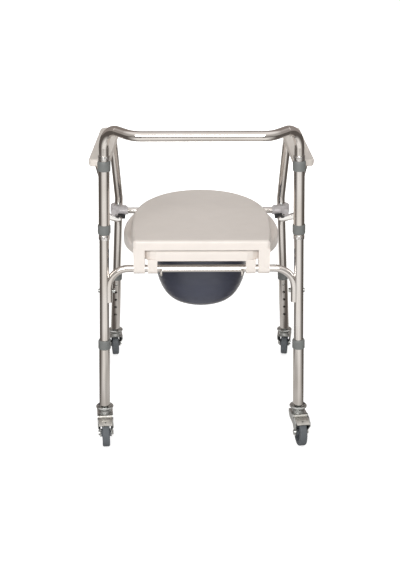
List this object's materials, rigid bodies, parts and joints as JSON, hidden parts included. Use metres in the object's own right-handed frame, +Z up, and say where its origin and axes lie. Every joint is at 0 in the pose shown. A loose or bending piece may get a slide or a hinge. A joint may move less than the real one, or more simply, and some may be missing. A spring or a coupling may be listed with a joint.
{
  "type": "commode chair",
  "caption": "Wheeled commode chair with a bent chrome tube frame, armrests, hinged seat and lid, a pail on a rod rack, height-adjusting legs and braked swivel casters.",
  "frame": {"origin": "on the floor, under the centre of the bounding box", "axes": "+X across the chair to the sitter's right-hand side of the model, +Y forwards, +Z up"},
  "size_m": [0.6008, 0.6842, 0.8748],
  "materials": {
    "chrome_tube": "polished",
    "zinc_steel": "bright zinc plate",
    "collar_plastic": "fine satin grain",
    "armrest_plastic": "soft satin",
    "hook_plastic": "satin",
    "latch_plastic": "satin",
    "pail_plastic": "semi-gloss",
    "seat_plastic": "satin gloss",
    "bumper_rubber": "matte",
    "tyre_rubber": "matte"
  },
  "bodies": {
    "frame": {"rear_frame_tube": "chrome_tube", "column_stop_rings": "zinc_steel", "column_sleeve_left": "chrome_tube", "column_sleeve_right": "chrome_tube", "sleeve_collars": "collar_plastic", "rear_crossbar": "chrome_tube", "crossbar_bolts": "zinc_steel", "crossbar_nuts": "zinc_steel", "arm_tube_left": "chrome_tube", "arm_tube_right": "chrome_tube", "side_rail_left": "chrome_tube", "side_rail_right": "chrome_tube", "armrest_left": "armrest_plastic", "armrest_right": "armrest_plastic", "armrest_screws": "zinc_steel", "post_bolts": "zinc_steel", "front_crossbar": "chrome_tube", "crossbar_hook_left": "hook_plastic", "crossbar_hook_right": "hook_plastic", "pail_rack": "chrome_tube"},
    "seat": {"seat": "seat_plastic", "seat_bumpers": "bumper_rubber"},
    "lid": {"lid": "seat_plastic", "lid_bumpers": "bumper_rubber"},
    "pail": {"pail": "pail_plastic"},
    "latch_left": {"latch_left": "latch_plastic"},
    "latch_right": {"latch_right": "latch_plastic"},
    "leg_front_left": {"leg_sleeve_front_left": "chrome_tube", "leg_collar_front_left": "collar_plastic", "caster_stem_front_left": "zinc_steel"},
    "button_front_left": {"snap_button_front_left": "zinc_steel"},
    "fork_front_left": {"caster_fork_front_left": "zinc_steel", "caster_axle_front_left": "zinc_steel"},
    "wheel_front_left": {"caster_wheel_front_left": "tyre_rubber"},
    "brake_front_left": {"caster_brake_front_left": "zinc_steel"},
    "leg_front_right": {"leg_sleeve_front_right": "chrome_tube", "leg_collar_front_right": "collar_plastic", "caster_stem_front_right": "zinc_steel"},
    "button_front_right": {"snap_button_front_right": "zinc_steel"},
    "fork_front_right": {"caster_fork_front_right": "zinc_steel", "caster_axle_front_right": "zinc_steel"},
    "wheel_front_right": {"caster_wheel_front_right": "tyre_rubber"},
    "brake_front_right": {"caster_brake_front_right": "zinc_steel"},
    "leg_rear_left": {"leg_sleeve_rear_left": "chrome_tube", "leg_collar_rear_left": "collar_plastic", "caster_stem_rear_left": "zinc_steel"},
    "button_rear_left": {"snap_button_rear_left": "zinc_steel"},
    "fork_rear_left": {"caster_fork_rear_left": "zinc_steel", "caster_axle_rear_left": "zinc_steel"},
    "wheel_rear_left": {"caster_wheel_rear_left": "tyre_rubber"},
    "brake_rear_left": {"caster_brake_rear_left": "zinc_steel"},
    "leg_rear_right": {"leg_sleeve_rear_right": "chrome_tube", "leg_collar_rear_right": "collar_plastic", "caster_stem_rear_right": "zinc_steel"},
    "button_rear_right": {"snap_button_rear_right": "zinc_steel"},
    "fork_rear_right": {"caster_fork_rear_right": "zinc_steel", "caster_axle_rear_right": "zinc_steel"},
    "wheel_rear_right": {"caster_wheel_rear_right": "tyre_rubber"},
    "brake_rear_right": {"caster_brake_rear_right": "zinc_steel"}
  },
  "joints": [
    {"name": "seat_hinge", "type": "hinge", "parent": "frame", "child": "seat", "pos_m": [0, -0.24952, 0.497], "axis": [1, 0, 0], "range_deg": [0, 87.5]},
    {"name": "lid_hinge", "type": "hinge", "parent": "seat", "child": "lid", "pos_m": [0, -0.24952, 0.497], "axis": [1, 0, 0], "range_deg": [0, 87.5]},
    {"name": "pail_slide", "type": "slide", "parent": "frame", "child": "pail", "axis": [0, 1, 0], "range_m": [0, 0.3]},
    {"name": "latch_slide_left", "type": "slide", "parent": "frame", "child": "latch_left", "axis": [1, 0, 0], "range_m": [0, 0.01]},
    {"name": "latch_slide_right", "type": "slide", "parent": "frame", "child": "latch_right", "axis": [-1, 0, 0], "range_m": [0, 0.01]},
    {"name": "leg_height_front_left", "type": "slide", "parent": "frame", "child": "leg_front_left", "axis": [0.0558, 0, 0.9984], "range_m": [0, 0.1]},
    {"name": "snap_button_front_left", "type": "slide", "parent": "frame", "child": "button_front_left", "axis": [0, 1, 0], "range_m": [0, 0.003], "stiffness_N_per_m": 500, "springref_m": -0.002},
    {"name": "caster_swivel_front_left", "type": "hinge", "parent": "leg_front_left", "child": "fork_front_left", "pos_m": [-0.27086, 0.26948, 0.09], "axis": [0, 0, 1], "continuous": true},
    {"name": "wheel_spin_front_left", "type": "hinge", "parent": "fork_front_left", "child": "wheel_front_left", "pos_m": [-0.27603, 0.3041, 0.0375], "axis": [-0.989, -0.1478, 0], "continuous": true},
    {"name": "brake_pedal_front_left", "type": "hinge", "parent": "fork_front_left", "child": "brake_front_left", "pos_m": [-0.27441, 0.29322, 0.08], "axis": [-0.989, -0.1478, 0], "range_deg": [0, 5]},
    {"name": "leg_height_front_right", "type": "slide", "parent": "frame", "child": "leg_front_right", "axis": [-0.0558, 0, 0.9984], "range_m": [0, 0.1]},
    {"name": "snap_button_front_right", "type": "slide", "parent": "frame", "child": "button_front_right", "axis": [0, 1, 0], "range_m": [0, 0.003], "stiffness_N_per_m": 500, "springref_m": -0.002},
    {"name": "caster_swivel_front_right", "type": "hinge", "parent": "leg_front_right", "child": "fork_front_right", "pos_m": [0.27086, 0.26948, 0.09], "axis": [0, 0, 1], "continuous": true},
    {"name": "wheel_spin_front_right", "type": "hinge", "parent": "fork_front_right", "child": "wheel_front_right", "pos_m": [0.27603, 0.3041, 0.0375], "axis": [-0.989, 0.1478, 0], "continuous": true},
    {"name": "brake_pedal_front_right", "type": "hinge", "parent": "fork_front_right", "child": "brake_front_right", "pos_m": [0.27441, 0.29322, 0.08], "axis": [-0.989, 0.1478, 0], "range_deg": [0, 5]},
    {"name": "leg_height_rear_left", "type": "slide", "parent": "frame", "child": "leg_rear_left", "axis": [0.0314, 0, 0.9995], "range_m": [0, 0.1]},
    {"name": "snap_button_rear_left", "type": "slide", "parent": "frame", "child": "button_rear_left", "axis": [0, -1, 0], "range_m": [0, 0.003], "stiffness_N_per_m": 500, "springref_m": -0.002},
    {"name": "caster_swivel_rear_left", "type": "hinge", "parent": "leg_rear_left", "child": "fork_rear_left", "pos_m": [-0.26279, -0.24952, 0.09], "axis": [0, 0, 1], "continuous": true},
    {"name": "wheel_spin_rear_left", "type": "hinge", "parent": "fork_rear_left", "child": "wheel_rear_left", "pos_m": [-0.25913, -0.28432, 0.0375], "axis": [0.9945, 0.1045, 0], "continuous": true},
    {"name": "brake_pedal_rear_left", "type": "hinge", "parent": "fork_rear_left", "child": "brake_rear_left", "pos_m": [-0.26028, -0.27339, 0.08], "axis": [0.9945, 0.1045, 0], "range_deg": [0, 5]},
    {"name": "leg_height_rear_right", "type": "slide", "parent": "frame", "child": "leg_rear_right", "axis": [-0.0314, 0, 0.9995], "range_m": [0, 0.1]},
    {"name": "snap_button_rear_right", "type": "slide", "parent": "frame", "child": "button_rear_right", "axis": [0, -1, 0], "range_m": [0, 0.003], "stiffness_N_per_m": 500, "springref_m": -0.002},
    {"name": "caster_swivel_rear_right", "type": "hinge", "parent": "leg_rear_right", "child": "fork_rear_right", "pos_m": [0.26279, -0.24952, 0.09], "axis": [0, 0, 1], "continuous": true},
    {"name": "wheel_spin_rear_right", "type": "hinge", "parent": "fork_rear_right", "child": "wheel_rear_right", "pos_m": [0.26826, -0.28409, 0.0375], "axis": [0.9877, 0.1564, 0], "continuous": true},
    {"name": "brake_pedal_rear_right", "type": "hinge", "parent": "fork_rear_right", "child": "brake_rear_right", "pos_m": [0.26654, -0.27322, 0.08], "axis": [0.9877, 0.1564, 0], "range_deg": [0, 5]}
  ]
}
